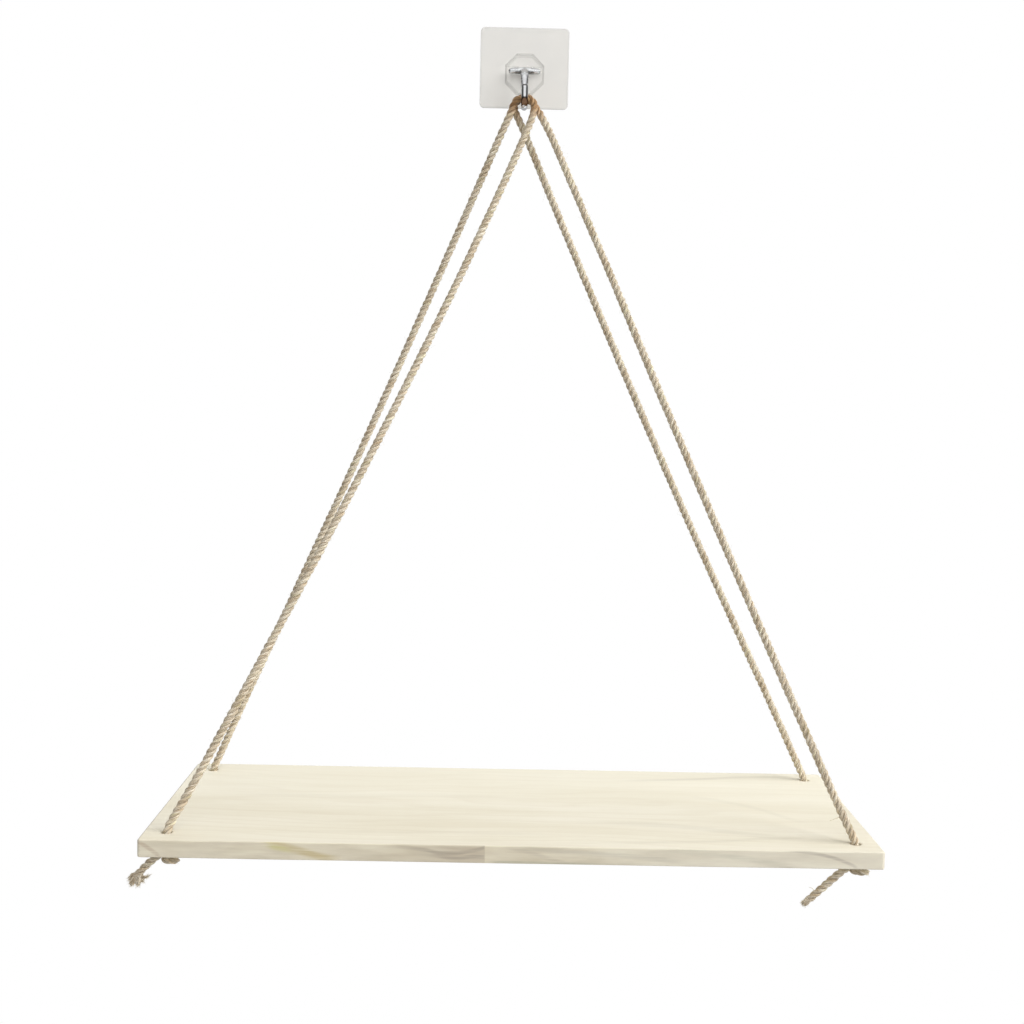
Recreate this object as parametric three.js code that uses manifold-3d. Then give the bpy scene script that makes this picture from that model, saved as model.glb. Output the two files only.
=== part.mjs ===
// Hanging rope shelf: a drilled board slung on two ropes from a swinging hook on a stuck-on wall plate.
// Millimetres. +X is right, -Y is out of the wall and +Z is up.
// The origin is the middle of the adhesive pad's back, which lies on the wall at y = 0.

import * as THREE from "three";
import { mergeVertices } from "three/addons/utils/BufferGeometryUtils.js";
import Module from "manifold-3d";

const wasm = await Module();
wasm.setup();

// Clearances shared by the pieces
const seatGap = 0.3;
const cutOverrun = 2;

// Adhesive pad and wall plate
const plateWidth = 48;
const plateHeight = 43;
const plateThickness = 1.2;
const plateCornerRadius = 2.5;
const padMargin = 0.5;
const padThickness = 0.6;

// Eight-sided hook housing on the plate
const housingAcrossFlats = 21;
const housingDepth = 6.4;
const housingFrontEase = 1;
const housingDrop = 4;
const housingWall = 1;

// T-shaped hook: a bar held in the housing, a bent wire below it
const barLength = 17.6;
const barRadius = 1.9;
const barEndRadius = 1.5;
const barDrop = 2;
const wireRadius = 1.8;
const neckWebWidth = 5.4;
const neckWebThickness = 3;
const neckWebLength = 5;
const throatWidth = 10.4;
const seatDrop = 23.1;
const tipRise = 8.3;
const hookBendRadius = 4;
const neckReach = 4;
const neckSlotSideGap = 0.5;

// Board
const boardLength = 350;
const boardDepth = 140;
const boardThickness = 8.5;
const boardEdgeEase = 0.8;
const boardCornerRadius = 1.5;
const boardWallGap = 1;
const boardDrop = 386.4;
const holeRadius = 2.6;
const holeEndInset = 11;
const holeSideInset = 13;

// Rope: full round where it hangs, squeezed where it is pulled into a knot
const ropeRadius = 1.7;
const knotStrand = 2.5;
const knotStrandRadius = 1.2;
const knotSeatGap = 0.2;

// How finely round shapes are cut
const ropeSides = 8;
const ropeStepsPerPoint = 2;
const wireSides = 16;
const wireSteps = 44;
const holeSides = 24;
const cornerSegments = 4;

// Places worked out from the sizes above
const plateBackY = -padThickness;
const housingBackY = plateBackY - plateThickness;
const housingFrontY = housingBackY - housingDepth;
const chamberRadius = barRadius + seatGap;
const barY = housingFrontY + housingWall + chamberRadius;
const barZ = -barDrop;
const stemY = housingFrontY - seatGap - wireRadius;
const seatZ = -seatDrop;
const tipY = stemY - throatWidth - wireRadius * 2;
const boardTopZ = -boardDrop;
const boardBottomZ = boardTopZ - boardThickness;
const boardBackY = -boardWallGap;
const boardFrontY = boardBackY - boardDepth;
const holeX = boardLength / 2 - holeEndInset;
const holeFrontY = boardFrontY + holeSideInset;
const holeBackY = boardBackY - holeSideInset;

// Left rope, knot to knot: up from the front hole to the right of the hook, over the seat nearest
// the tip, and down the left of the hook to the back hole.
const leftRopeRoute = [
  [-164.0, -128.0, -392.2],
  [-164.0, -128.0, -389.0],
  [-163.7, -127.8, -386.3],
  [-162.9, -127.3, -383.6],
  [-161.4, -126.3, -380.6],
  [-152.9, -120.8, -365.1],
  [-138.5, -111.6, -336.6],
  [-114.9, -96.4, -290.0],
  [-88.1, -79.2, -236.1],
  [-60.4, -61.4, -178.2],
  [-33.7, -44.3, -120.0],
  [-11.4, -30.2, -68.8],
  [0.7, -22.9, -39.4],
  [4.2, -20.7, -30.0],
  [5.2, -19.7, -25.5],
  [5.1, -19.5, -22.6],
  [4.0, -19.5, -20.7],
  [2.2, -19.5, -19.6],
  [0.0, -19.5, -19.3],
  [-2.2, -19.5, -19.6],
  [-4.0, -19.5, -20.7],
  [-5.1, -19.5, -22.4],
  [-6.9, -19.5, -27.0],
  [-11.2, -19.3, -36.7],
  [-23.6, -18.8, -66.0],
  [-45.3, -18.0, -117.3],
  [-70.4, -17.2, -175.7],
  [-95.9, -16.3, -234.0],
  [-120.4, -15.5, -288.5],
  [-141.8, -14.8, -335.7],
  [-154.5, -14.3, -364.7],
  [-161.6, -14.1, -380.9],
  [-162.9, -14.0, -383.6],
  [-163.7, -14.0, -386.3],
  [-164.0, -14.0, -389.0],
  [-164.0, -14.0, -392.2]
];

// Right rope, knot to knot: up from the front hole to the right of the hook, over the seat nearest
// the stem, and down the left of the hook, under it, to the back hole.
const rightRopeRoute = [
  [164.0, -128.0, -392.2],
  [164.0, -128.0, -389.0],
  [163.7, -127.8, -386.3],
  [162.9, -127.3, -383.6],
  [161.5, -126.3, -380.6],
  [154.2, -120.8, -364.7],
  [141.5, -111.6, -335.8],
  [120.9, -96.7, -288.7],
  [97.4, -79.7, -234.2],
  [72.6, -61.8, -175.9],
  [48.2, -44.0, -117.4],
  [26.3, -28.7, -66.1],
  [13.6, -19.9, -36.7],
  [9.0, -17.2, -28.0],
  [6.2, -15.7, -23.4],
  [4.3, -15.3, -20.8],
  [2.3, -15.3, -19.6],
  [0.0, -15.3, -19.3],
  [-2.2, -15.3, -19.6],
  [-4.0, -15.3, -20.7],
  [-5.1, -15.3, -22.6],
  [-4.7, -15.3, -25.5],
  [-2.4, -15.3, -30.6],
  [1.6, -15.3, -39.3],
  [14.5, -15.3, -68.5],
  [37.4, -15.2, -119.5],
  [64.0, -14.9, -177.6],
  [91.0, -14.7, -235.5],
  [117.0, -14.4, -289.6],
  [140.0, -14.2, -336.3],
  [153.8, -14.1, -364.9],
  [161.4, -14.0, -380.9],
  [162.8, -14.0, -383.6],
  [163.7, -14.0, -386.3],
  [164.0, -14.0, -389.0],
  [164.0, -14.0, -392.2]
];

// Overhand stopper knot pulled flat under the board, as shares of the squeezed strand's diameter.
// It starts in the hole, on its axis, and ends where the tail leaves just under the board.
const knotShares = [
  [0.0, 0.0, 1.0],
  [-0.05, 0.05, 0.6],
  [-0.25, 0.25, 0.1],
  [-0.45, 0.6, -0.35],
  [-0.5, 1.15, -0.6],
  [-0.15, 1.65, -0.6],
  [0.35, 1.6, -0.6],
  [0.5, 1.05, -0.7],
  [0.4, 0.5, -1.25],
  [0.8, 0.1, -1.7],
  [1.5, -0.15, -1.75],
  [2.1, -0.4, -1.75],
  [2.15, -1.1, -1.75],
  [1.5, -1.5, -1.75],
  [0.75, -1.45, -1.75],
  [0.1, -1.15, -1.75],
  [-0.35, -0.55, -1.75],
  [-0.5, 0.15, -1.75],
  [-0.45, 0.9, -1.75],
  [0.05, 1.4, -1.75],
  [0.8, 1.4, -1.65],
  [1.3, 0.95, -1.3],
  [1.3, 0.35, -0.9],
  [0.85, -0.15, -0.65],
  [0.2, -0.4, -0.65],
  [-0.55, -0.5, -0.7]
];

// Free tails, from the end of the knot, measured from the hole's axis at the board's underside
const shortTailRoute = [
  [-4.6, -1.3, -3.2],
  [-7.8, -1.4, -5.9],
  [-10.9, -1.6, -9.0],
  [-13.2, -1.7, -11.8],
  [-14.6, -1.8, -14.4]
];
const longTailRoute = [
  [-4.8, -1.3, -3.3],
  [-8.8, -1.4, -6.6],
  [-13.0, -1.6, -10.4],
  [-17.0, -1.8, -14.0],
  [-20.6, -2.0, -17.2],
  [-23.8, -2.1, -20.0]
];

// One stopper knot at each hole: which side, which row, how far it is turned and how its tail falls
const knotPlan = [
  { name: "knot_front_left", x: -holeX, y: holeFrontY, turn: 0, tail: shortTailRoute },
  { name: "knot_back_left", x: -holeX, y: holeBackY, turn: 165, tail: longTailRoute },
  { name: "knot_front_right", x: holeX, y: holeFrontY, turn: 0, tail: longTailRoute },
  { name: "knot_back_right", x: holeX, y: holeBackY, turn: 15, tail: shortTailRoute }
];

const materials = {
  pad: new THREE.MeshStandardMaterial({ color: 0xe9e9e6, roughness: 0.6, metalness: 0 }),
  plate: new THREE.MeshStandardMaterial({ color: 0xe3e1dc, roughness: 0.15, metalness: 0 }),
  housing: new THREE.MeshStandardMaterial({ color: 0xe8e7e3, roughness: 0.1, metalness: 0 }),
  hook: new THREE.MeshStandardMaterial({ color: 0xc8c9cb, roughness: 0.12, metalness: 1 }),
  board: new THREE.MeshStandardMaterial({ color: 0xede4cf, roughness: 0.65, metalness: 0 }),
  rope: new THREE.MeshStandardMaterial({ color: 0x9c8059, roughness: 0.95, metalness: 0 })
};

// A path whose steps follow its points, so that its tight bends get short steps.
class PointPacedPath extends THREE.CatmullRomCurve3 {
  getUtoTmapping(u) {
    return u;
  }
}

// Turns a geometry into a solid for cutting and joining.
function toSolid(geometry) {
  const bare = geometry.clone();
  bare.deleteAttribute("normal");
  bare.deleteAttribute("uv");
  const merged = mergeVertices(bare);
  return new wasm.Manifold(new wasm.Mesh({
    numProp: 3,
    vertProperties: new Float32Array(merged.attributes.position.array),
    triVerts: new Uint32Array(merged.index.array)
  }));
}

// Turns a solid back into a geometry.
function toGeometry(solid) {
  const mesh = solid.getMesh();
  const geometry = new THREE.BufferGeometry();
  geometry.setAttribute("position", new THREE.BufferAttribute(mesh.vertProperties, 3));
  geometry.setIndex(new THREE.BufferAttribute(mesh.triVerts, 1));
  geometry.computeVertexNormals();
  return geometry;
}

// A box between two corners.
function boxBetween(low, high) {
  const size = high.map((value, axis) => value - low[axis]);
  const geometry = new THREE.BoxGeometry(...size);
  return geometry.translate(...low.map((value, axis) => value + size[axis] / 2));
}

// The corners of a regular polygon that stands in for a circle.
function roundCorners(radius, sides, middleX = 0, middleY = 0) {
  return Array.from({ length: sides }, (_, index) => {
    const angle = index / sides * Math.PI * 2;
    return new THREE.Vector2(middleX + Math.cos(angle) * radius, middleY + Math.sin(angle) * radius);
  });
}

// A rectangle with rounded corners, centred left to right and about the given height.
function roundedRectangle(width, height, radius, middleY = 0) {
  const [right, top] = [width / 2, middleY + height / 2];
  const [left, bottom] = [-width / 2, middleY - height / 2];
  const shape = new THREE.Shape();
  shape.absarc(right - radius, bottom + radius, radius, -Math.PI / 2, 0);
  shape.absarc(right - radius, top - radius, radius, 0, Math.PI / 2);
  shape.absarc(left + radius, top - radius, radius, Math.PI / 2, Math.PI);
  shape.absarc(left + radius, bottom + radius, radius, Math.PI, Math.PI * 1.5);
  return shape;
}

// A flat slab on the wall side: the outline is drawn in x and z, the slab grows out of the wall.
function wallSlab(shape, thickness, backY) {
  const geometry = new THREE.ExtrudeGeometry(shape, {
    depth: thickness,
    bevelEnabled: false,
    curveSegments: cornerSegments
  });
  return geometry.rotateX(Math.PI / 2).translate(0, backY, 0);
}

// A round cord along points, with flat ends.
function cordAlong(points, radius) {
  const path = new PointPacedPath(points, false, "centripetal");
  return new THREE.ExtrudeGeometry(new THREE.Shape(roundCorners(radius, ropeSides)), {
    steps: (points.length - 1) * ropeStepsPerPoint,
    bevelEnabled: false,
    extrudePath: path
  });
}

// A polyline in the hook's plane with each inner corner swept round.
function bentWirePath(corners, bendRadius) {
  const path = new THREE.CurvePath();
  let start = corners[0];
  for (let index = 1; index < corners.length - 1; index += 1) {
    const corner = corners[index];
    const inward = start.clone().sub(corner).normalize();
    const onward = corners[index + 1].clone().sub(corner).normalize();
    const turn = Math.PI - inward.angleTo(onward);
    const setback = bendRadius * Math.tan(turn / 2);
    const entry = corner.clone().addScaledVector(inward, setback);
    const exit = corner.clone().addScaledVector(onward, setback);
    path.add(new THREE.LineCurve3(start, entry));
    path.add(new THREE.QuadraticBezierCurve3(entry, corner, exit));
    start = exit;
  }
  path.add(new THREE.LineCurve3(start, corners[corners.length - 1]));
  return path;
}

function makePad() {
  const outline = roundedRectangle(plateWidth - padMargin * 2, plateHeight - padMargin * 2,
    plateCornerRadius - padMargin);
  return wallSlab(outline, padThickness, 0);
}

function makePlate() {
  const outline = roundedRectangle(plateWidth, plateHeight, plateCornerRadius);
  return wallSlab(outline, plateThickness, plateBackY);
}

// The housing is turned as an eight-sided block, then grooved from behind for the hook's bar
// and slotted through its front for the hook's neck.
function makeHousing() {
  const toCorner = 1 / Math.cos(Math.PI / 8);
  const outer = housingAcrossFlats / 2 * toCorner;
  const eased = (housingAcrossFlats / 2 - housingFrontEase) * toCorner;
  const profile = [
    new THREE.Vector2(0, 0),
    new THREE.Vector2(outer, 0),
    new THREE.Vector2(outer, housingDepth - housingFrontEase),
    new THREE.Vector2(eased, housingDepth),
    new THREE.Vector2(0, housingDepth)
  ];
  const block = new THREE.LatheGeometry(profile, 8, Math.PI / 8)
    .rotateX(Math.PI)
    .translate(0, housingBackY, -housingDrop);

  const halfChamber = barLength / 2 + seatGap;
  const grooveSection = new THREE.Shape();
  grooveSection.absarc(0, 0, chamberRadius, -Math.PI / 2, Math.PI / 2);
  grooveSection.lineTo(barY - housingBackY - cutOverrun, chamberRadius);
  grooveSection.lineTo(barY - housingBackY - cutOverrun, -chamberRadius);
  const groove = new THREE.ExtrudeGeometry(grooveSection, {
    depth: halfChamber * 2,
    bevelEnabled: false,
    curveSegments: cornerSegments
  })
    .translate(0, 0, -halfChamber)
    .rotateY(-Math.PI / 2)
    .rotateX(Math.PI / 2)
    .translate(0, barY, barZ);
  const halfSlot = neckWebWidth / 2 + neckSlotSideGap;
  const slot = boxBetween(
    [-halfSlot, housingFrontY - cutOverrun, -housingDrop - housingAcrossFlats / 2 - cutOverrun],
    [halfSlot, barY + wireRadius, barZ + chamberRadius + seatGap]);
  return toGeometry(toSolid(block).subtract(toSolid(groove)).subtract(toSolid(slot)));
}

// A spindle with domed ends along x, thickest where the neck leaves it.
function makeBar() {
  const half = barLength / 2;
  const domeX = half - barEndRadius;
  const profile = [new THREE.Vector2(0, -half)];
  const domeSteps = 4;
  for (let step = 1; step <= domeSteps; step += 1) {
    const angle = step / domeSteps * Math.PI / 2;
    profile.push(new THREE.Vector2(Math.sin(angle) * barEndRadius, -domeX - Math.cos(angle) * barEndRadius));
  }
  profile.push(new THREE.Vector2(barRadius, 0));
  const mirrored = profile.slice(0, -1).reverse().map((point) => new THREE.Vector2(point.x, -point.y));
  return new THREE.LatheGeometry([...profile, ...mirrored], wireSides)
    .rotateZ(-Math.PI / 2)
    .translate(0, barY, barZ);
}

// The wire leaves the bar outwards and down, drops past the housing, and turns up into the tip.
function makeHookWire() {
  const inPlane = (y, z) => new THREE.Vector3(0, y, z);
  const corners = [
    inPlane(barY, barZ),
    inPlane(stemY, barZ - neckReach),
    inPlane(stemY, seatZ),
    inPlane(tipY, seatZ),
    inPlane(tipY, seatZ + tipRise)
  ];
  const wire = new THREE.ExtrudeGeometry(new THREE.Shape(roundCorners(wireRadius, wireSides)), {
    steps: wireSteps,
    bevelEnabled: false,
    extrudePath: bentWirePath(corners, hookBendRadius)
  });
  const tip = new THREE.SphereGeometry(wireRadius, wireSides, wireSides / 2)
    .rotateX(Math.PI / 2)
    .translate(0, tipY, corners[4].z);
  return toSolid(wire).add(toSolid(tip));
}

// A flat web that flares from the wire up to the bar.
function makeNeckWeb() {
  const half = neckWebWidth / 2;
  const shape = new THREE.Shape();
  shape.moveTo(-half, 0);
  shape.quadraticCurveTo(-wireRadius, 0, -wireRadius, -neckWebLength);
  shape.lineTo(wireRadius, -neckWebLength);
  shape.quadraticCurveTo(wireRadius, 0, half, 0);
  const slope = Math.atan2(barY - stemY, neckReach);
  return new THREE.ExtrudeGeometry(shape, { depth: neckWebThickness, bevelEnabled: false, curveSegments: 6 })
    .translate(0, 0, -neckWebThickness / 2)
    .rotateX(Math.PI / 2 - slope)
    .translate(0, barY, barZ);
}

function makeHook() {
  return toGeometry(toSolid(makeBar())
    .add(makeHookWire())
    .add(toSolid(makeNeckWeb())));
}

// The board is drawn from above, with its four rope holes, and its edges and hole mouths are eased.
function makeBoard() {
  const middleY = (boardFrontY + boardBackY) / 2;
  const shape = roundedRectangle(boardLength, boardDepth, boardCornerRadius, middleY);
  for (const x of [-holeX, holeX]) {
    for (const y of [holeFrontY, holeBackY]) {
      shape.holes.push(new THREE.Path(roundCorners(holeRadius, holeSides, x, y)));
    }
  }
  return new THREE.ExtrudeGeometry(shape, {
    depth: boardThickness - boardEdgeEase * 2,
    bevelThickness: boardEdgeEase,
    bevelSize: boardEdgeEase,
    bevelOffset: -boardEdgeEase,
    bevelSegments: 2,
    curveSegments: cornerSegments
  }).translate(0, 0, boardBottomZ + boardEdgeEase);
}

function makeRope(route) {
  return cordAlong(route.map((point) => new THREE.Vector3(...point)), ropeRadius);
}

// A stopper knot with its free tail, turned about the hole's axis.
function makeKnot({ x, y, turn, tail }) {
  const knot = knotShares.map((share) => new THREE.Vector3(...share).multiplyScalar(knotStrand));
  const loose = tail.map((point) => new THREE.Vector3(...point));
  return cordAlong([...knot, ...loose], knotStrandRadius)
    .rotateZ(THREE.MathUtils.degToRad(turn))
    .translate(x, y, boardBottomZ - knotSeatGap);
}

const shelf = new THREE.Group();
shelf.name = "hanging_rope_shelf";

function place(name, geometry, material) {
  const mesh = new THREE.Mesh(geometry, material);
  mesh.name = name;
  shelf.add(mesh);
}

place("adhesive_pad", makePad(), materials.pad);
place("wall_plate", makePlate(), materials.plate);
place("hook_housing", makeHousing(), materials.housing);
place("hook", makeHook(), materials.hook);
place("board", makeBoard(), materials.board);
place("rope_left", makeRope(leftRopeRoute), materials.rope);
place("rope_right", makeRope(rightRopeRoute), materials.rope);
for (const plan of knotPlan) {
  place(plan.name, makeKnot(plan), materials.rope);
}

export default shelf;
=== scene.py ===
"""Looks of the hanging rope shelf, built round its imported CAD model.

Metres. +X is right, -Y is out of the wall and +Z is up, as in the CAD.
"""

import math
from collections import namedtuple

import bmesh
import bpy
import numpy as np
from mathutils import Matrix, Vector


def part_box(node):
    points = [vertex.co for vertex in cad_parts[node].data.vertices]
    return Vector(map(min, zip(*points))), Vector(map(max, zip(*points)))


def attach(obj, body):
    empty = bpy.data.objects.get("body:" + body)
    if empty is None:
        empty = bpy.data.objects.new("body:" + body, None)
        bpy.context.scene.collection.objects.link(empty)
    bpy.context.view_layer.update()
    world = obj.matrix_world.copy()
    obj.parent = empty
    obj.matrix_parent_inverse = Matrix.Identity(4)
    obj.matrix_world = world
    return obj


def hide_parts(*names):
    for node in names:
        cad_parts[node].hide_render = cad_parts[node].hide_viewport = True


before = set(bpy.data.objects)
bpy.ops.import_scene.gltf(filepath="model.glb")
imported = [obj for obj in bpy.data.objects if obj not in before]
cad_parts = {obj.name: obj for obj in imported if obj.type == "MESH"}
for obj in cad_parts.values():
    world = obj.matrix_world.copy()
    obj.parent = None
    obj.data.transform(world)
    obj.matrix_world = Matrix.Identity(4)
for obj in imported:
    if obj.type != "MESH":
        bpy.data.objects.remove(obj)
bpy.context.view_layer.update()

MM = 0.001

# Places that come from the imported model
board_low, board_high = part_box("board")
_, plate_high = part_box("wall_plate")
housing_low, housing_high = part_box("hook_housing")

# Camera, fitted to the board's edges, the plate and the hook in the photo
CAMERA_PLACE = Vector((-0.0131, -0.7984, -0.1765))
CAMERA_YAW = 0.0144
CAMERA_PITCH = 0.0810
CAMERA_ROLL = 0.0215
CAMERA_LENS_MM = 50.63
CAMERA_SENSOR_MM = 36.0

# Rope: full where it hangs, squeezed in its knots, loose in its tails
ROPE_RADIUS = 2.05 * MM
KNOT_STRAND = 2.5 * MM
KNOT_RADIUS = 1.3 * MM
KNOT_SEAT_GAP = 0.2 * MM
TAIL_RADIUS = 1.9 * MM
TAIL_END_RADIUS = 1.6 * MM
CURVE_STEPS = 14
ROPE_STEP = 0.45 * MM
ROPE_PITCH = 10.6 * MM
STRANDS = 3
STRAND_OFFSET_SHARE = 0.45
STRAND_RADIUS_SHARE = 0.55
STRAND_SIDES = 8

# How much the rope is uneven, and over how many of its steps
LAY_WANDER = 0.5
LAY_REACH = 60
THICKNESS_WANDER = 0.03
THICKNESS_REACH = 18
LUMP_HEIGHT = 0.05
LUMP_REACH = 9

# Fibres and loose yarns, with radii in millimetres
FIBRES_PER_METRE = 2200
FIBRE_RADII = (0.025, 0.05)
FIBRE_TAPER = np.array([1.0, 0.9, 0.7, 0.35])
FIBRE_SIDES = 3
STRAY_RADII = (0.2, 0.07)
STRAY_STEPS = 6
STRAY_SIDES = 6
YARN_STEPS = 21
YARN_SIDES = 12
YARN_FIBRE_RADII = (0.04, 0.08)
YARN_FIBRE_TAPER = np.array([1.0, 0.9, 0.7, 0.4])

# Board and its holes
BOARD_CORNER_RADIUS = 1.5 * MM
BOARD_CORNER_STEPS = 6
BOARD_EASE = 0.7 * MM
BOARD_SHARP_ANGLE = math.radians(60)
BOARD_SIDE_STEP = 6 * MM
BOARD_WAVER = 0.05 * MM
BOARD_WAVES_PER_METRE = 900
BOARD_WAVER_SEED = 5
HOLE_RADIUS = 2.6 * MM
HOLE_SIDES = 48
HOLE_END_INSET = 11 * MM
HOLE_SIDE_INSET = 13 * MM
hole_x = board_high.x - HOLE_END_INSET
hole_front_y = board_low.y + HOLE_SIDE_INSET
hole_back_y = board_high.y - HOLE_SIDE_INSET

# Growth rings about a pith far below the board, in millimetres
RING_WIDTH = 6.4
RING_WANDER = 22.0
PITH_Y = -62.0
PITH_Z = -420.0
PITH_SLANT = 0.05

# Plate and housing
PLATE_EDGE = 0.3 * MM
PLATE_SHARP_ANGLE = math.radians(60)
HOUSING_EDGE = 0.25 * MM
HOUSING_SHARP_ANGLE = math.radians(30)
WELD_DISTANCE = 0.001 * MM
FLAT_ANGLE = math.radians(1)
WALL_SIDE_GAP = 0.02 * MM
EDGE_STEPS = 3

# Hook, as in the CAD source
BAR_LENGTH = 17.6 * MM
BAR_RADIUS = 1.9 * MM
BAR_END_RADIUS = 1.5 * MM
BAR_DROOP = 0.5 * MM
BAR_Y = -5.0 * MM
BAR_Z = -2.0 * MM
WIRE_RADIUS = 1.8 * MM
STEM_Y = -10.3 * MM
TIP_Y = -24.3 * MM
SEAT_Z = -23.1 * MM
TIP_RISE = 8.3 * MM
NECK_REACH = 4.0 * MM
BEND_RADIUS = 4.0 * MM
FLARE_HALF_WIDTH = 2.75 * MM
FLARE_LENGTH = 11.0 * MM
TIP_Z = SEAT_Z + TIP_RISE + WIRE_RADIUS

# How finely the hook is built, melted and smoothed
HOOK_SIDES = 32
BAR_RINGS = 61
BEND_STEPS = 16
WIRE_STEP = 0.25 * MM
HOOK_VOXEL = 0.2 * MM
HOOK_CALMING = 0.5
HOOK_CALMING_ROUNDS = 10
SMALLEST_SHARE = 0.0004

# Painted dark reflections beside the hook's neck, in millimetres: start, full from, full to, end
DARK_REFLECTION_X = (1.0, 2.2, 4.4, 5.6)
DARK_REFLECTION_Z = (-4.6, -3.9, -3.0, -2.4)
DARK_REFLECTION_COLOUR = (0.10, 0.095, 0.09)

# Floor, and the world as light, for the camera and for gloss
FLOOR_PLACE = (0, -0.07, -0.80)
FLOOR_RADIUS = 2.5
FLOOR_SIDES = 96
FLOOR_FADE = (0.3, 0.78)
FLOOR_COLOUR = (0.86, 0.86, 0.855, 1)
FLOOR_LIFT = 0.16
WHITE = (1, 1, 1, 1)
WORLD_LIGHT = 0.39
GLOSS_DIM = 0.92
BRIGHT_SIDE = (0.0, -0.85, 0.53)
BRIGHT_REACH = (0.62, 0.86)
BEHIND_REACH = (0.35, 0.9)
BEHIND_DIM = 0.6
CEILING_REACH = (0.62, 0.9)
CEILING_DIM = 0.25

# Lamps, in metres and watts
Lamp = namedtuple("Lamp", "name place size power")
LAMPS = [
    Lamp("key", (2.5, -1.0, 1.2), 2.6, 95),
    Lamp("front", (0.0, -2.6, 1.2), 1.6, 18),
    Lamp("top", (0.2, 0.0, 1.6), 2.0, 9),
    Lamp("back", (-1.3, 2.2, 0.9), 2.0, 11),
]
LIGHT_AIM = Vector((0, -0.07, -0.2))

# Left rope between its knots, along the CAD source's points
LEFT_ROPE_ROUTE = [
    (-0.1640, -0.1280, -0.3890), (-0.1637, -0.1278, -0.3863), (-0.1629, -0.1273, -0.3836),
    (-0.1614, -0.1263, -0.3806), (-0.1529, -0.1208, -0.3651), (-0.1385, -0.1116, -0.3366),
    (-0.1149, -0.0964, -0.2900), (-0.0881, -0.0792, -0.2361), (-0.0604, -0.0614, -0.1782),
    (-0.0337, -0.0443, -0.1200), (-0.0114, -0.0302, -0.0688), (0.0007, -0.0229, -0.0394),
    (0.0042, -0.0207, -0.0300), (0.0052, -0.0197, -0.0255), (0.0051, -0.0195, -0.0226),
    (0.0040, -0.0195, -0.0207), (0.0022, -0.0195, -0.0196), (0.0000, -0.0195, -0.0193),
    (-0.0022, -0.0195, -0.0196), (-0.0040, -0.0195, -0.0207), (-0.0051, -0.0195, -0.0224),
    (-0.0069, -0.0195, -0.0270), (-0.0112, -0.0193, -0.0367), (-0.0236, -0.0188, -0.0660),
    (-0.0453, -0.0180, -0.1173), (-0.0704, -0.0172, -0.1757), (-0.0959, -0.0163, -0.2340),
    (-0.1204, -0.0155, -0.2885), (-0.1418, -0.0148, -0.3357), (-0.1545, -0.0143, -0.3647),
    (-0.1616, -0.0141, -0.3809), (-0.1629, -0.0140, -0.3836), (-0.1637, -0.0140, -0.3863),
    (-0.1640, -0.0140, -0.3890),
]

# Right rope between its knots, along the CAD source's points
RIGHT_ROPE_ROUTE = [
    (0.1640, -0.1280, -0.3890), (0.1637, -0.1278, -0.3863), (0.1629, -0.1273, -0.3836),
    (0.1615, -0.1263, -0.3806), (0.1542, -0.1208, -0.3647), (0.1415, -0.1116, -0.3358),
    (0.1209, -0.0967, -0.2887), (0.0974, -0.0797, -0.2342), (0.0726, -0.0618, -0.1759),
    (0.0482, -0.0440, -0.1174), (0.0263, -0.0287, -0.0661), (0.0136, -0.0199, -0.0367),
    (0.0090, -0.0172, -0.0280), (0.0062, -0.0157, -0.0234), (0.0043, -0.0153, -0.0208),
    (0.0023, -0.0153, -0.0196), (0.0000, -0.0153, -0.0193), (-0.0022, -0.0153, -0.0196),
    (-0.0040, -0.0153, -0.0207), (-0.0051, -0.0153, -0.0226), (-0.0047, -0.0153, -0.0255),
    (-0.0024, -0.0153, -0.0306), (0.0016, -0.0153, -0.0393), (0.0145, -0.0153, -0.0685),
    (0.0374, -0.0152, -0.1195), (0.0640, -0.0149, -0.1776), (0.0910, -0.0147, -0.2355),
    (0.1170, -0.0144, -0.2896), (0.1400, -0.0142, -0.3363), (0.1538, -0.0141, -0.3649),
    (0.1614, -0.0140, -0.3809), (0.1628, -0.0140, -0.3836), (0.1637, -0.0140, -0.3863),
    (0.1640, -0.0140, -0.3890),
]

# Overhand stopper knot as shares of the squeezed strand's diameter, from the hole to the tail
KNOT_SHARES = [
    (0.0, 0.0, 1.0), (-0.05, 0.05, 0.6), (-0.25, 0.25, 0.1), (-0.45, 0.6, -0.35),
    (-0.5, 1.15, -0.6), (-0.15, 1.65, -0.6), (0.35, 1.6, -0.6), (0.5, 1.05, -0.7),
    (0.4, 0.5, -1.25), (0.8, 0.1, -1.7), (1.5, -0.15, -1.75), (2.1, -0.4, -1.75),
    (2.15, -1.1, -1.75), (1.5, -1.5, -1.75), (0.75, -1.45, -1.75), (0.1, -1.15, -1.75),
    (-0.35, -0.55, -1.75), (-0.5, 0.15, -1.75), (-0.45, 0.9, -1.75), (0.05, 1.4, -1.75),
    (0.8, 1.4, -1.65), (1.3, 0.95, -1.3), (1.3, 0.35, -0.9), (0.85, -0.15, -0.65),
    (0.2, -0.4, -0.65), (-0.55, -0.5, -0.7),
]

# Loose tails, from the end of the knot, measured from the hole's axis under the board
SHORT_TAIL = [
    (-0.0046, -0.0013, -0.0032), (-0.0078, -0.0014, -0.0059), (-0.0109, -0.0016, -0.0090),
    (-0.0132, -0.0017, -0.0118), (-0.0146, -0.0018, -0.0144),
]
LONG_TAIL = [
    (-0.0048, -0.0013, -0.0033), (-0.0088, -0.0014, -0.0066), (-0.0130, -0.0016, -0.0104),
    (-0.0170, -0.0018, -0.0140), (-0.0206, -0.0020, -0.0172), (-0.0238, -0.0021, -0.0200),
]

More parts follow.
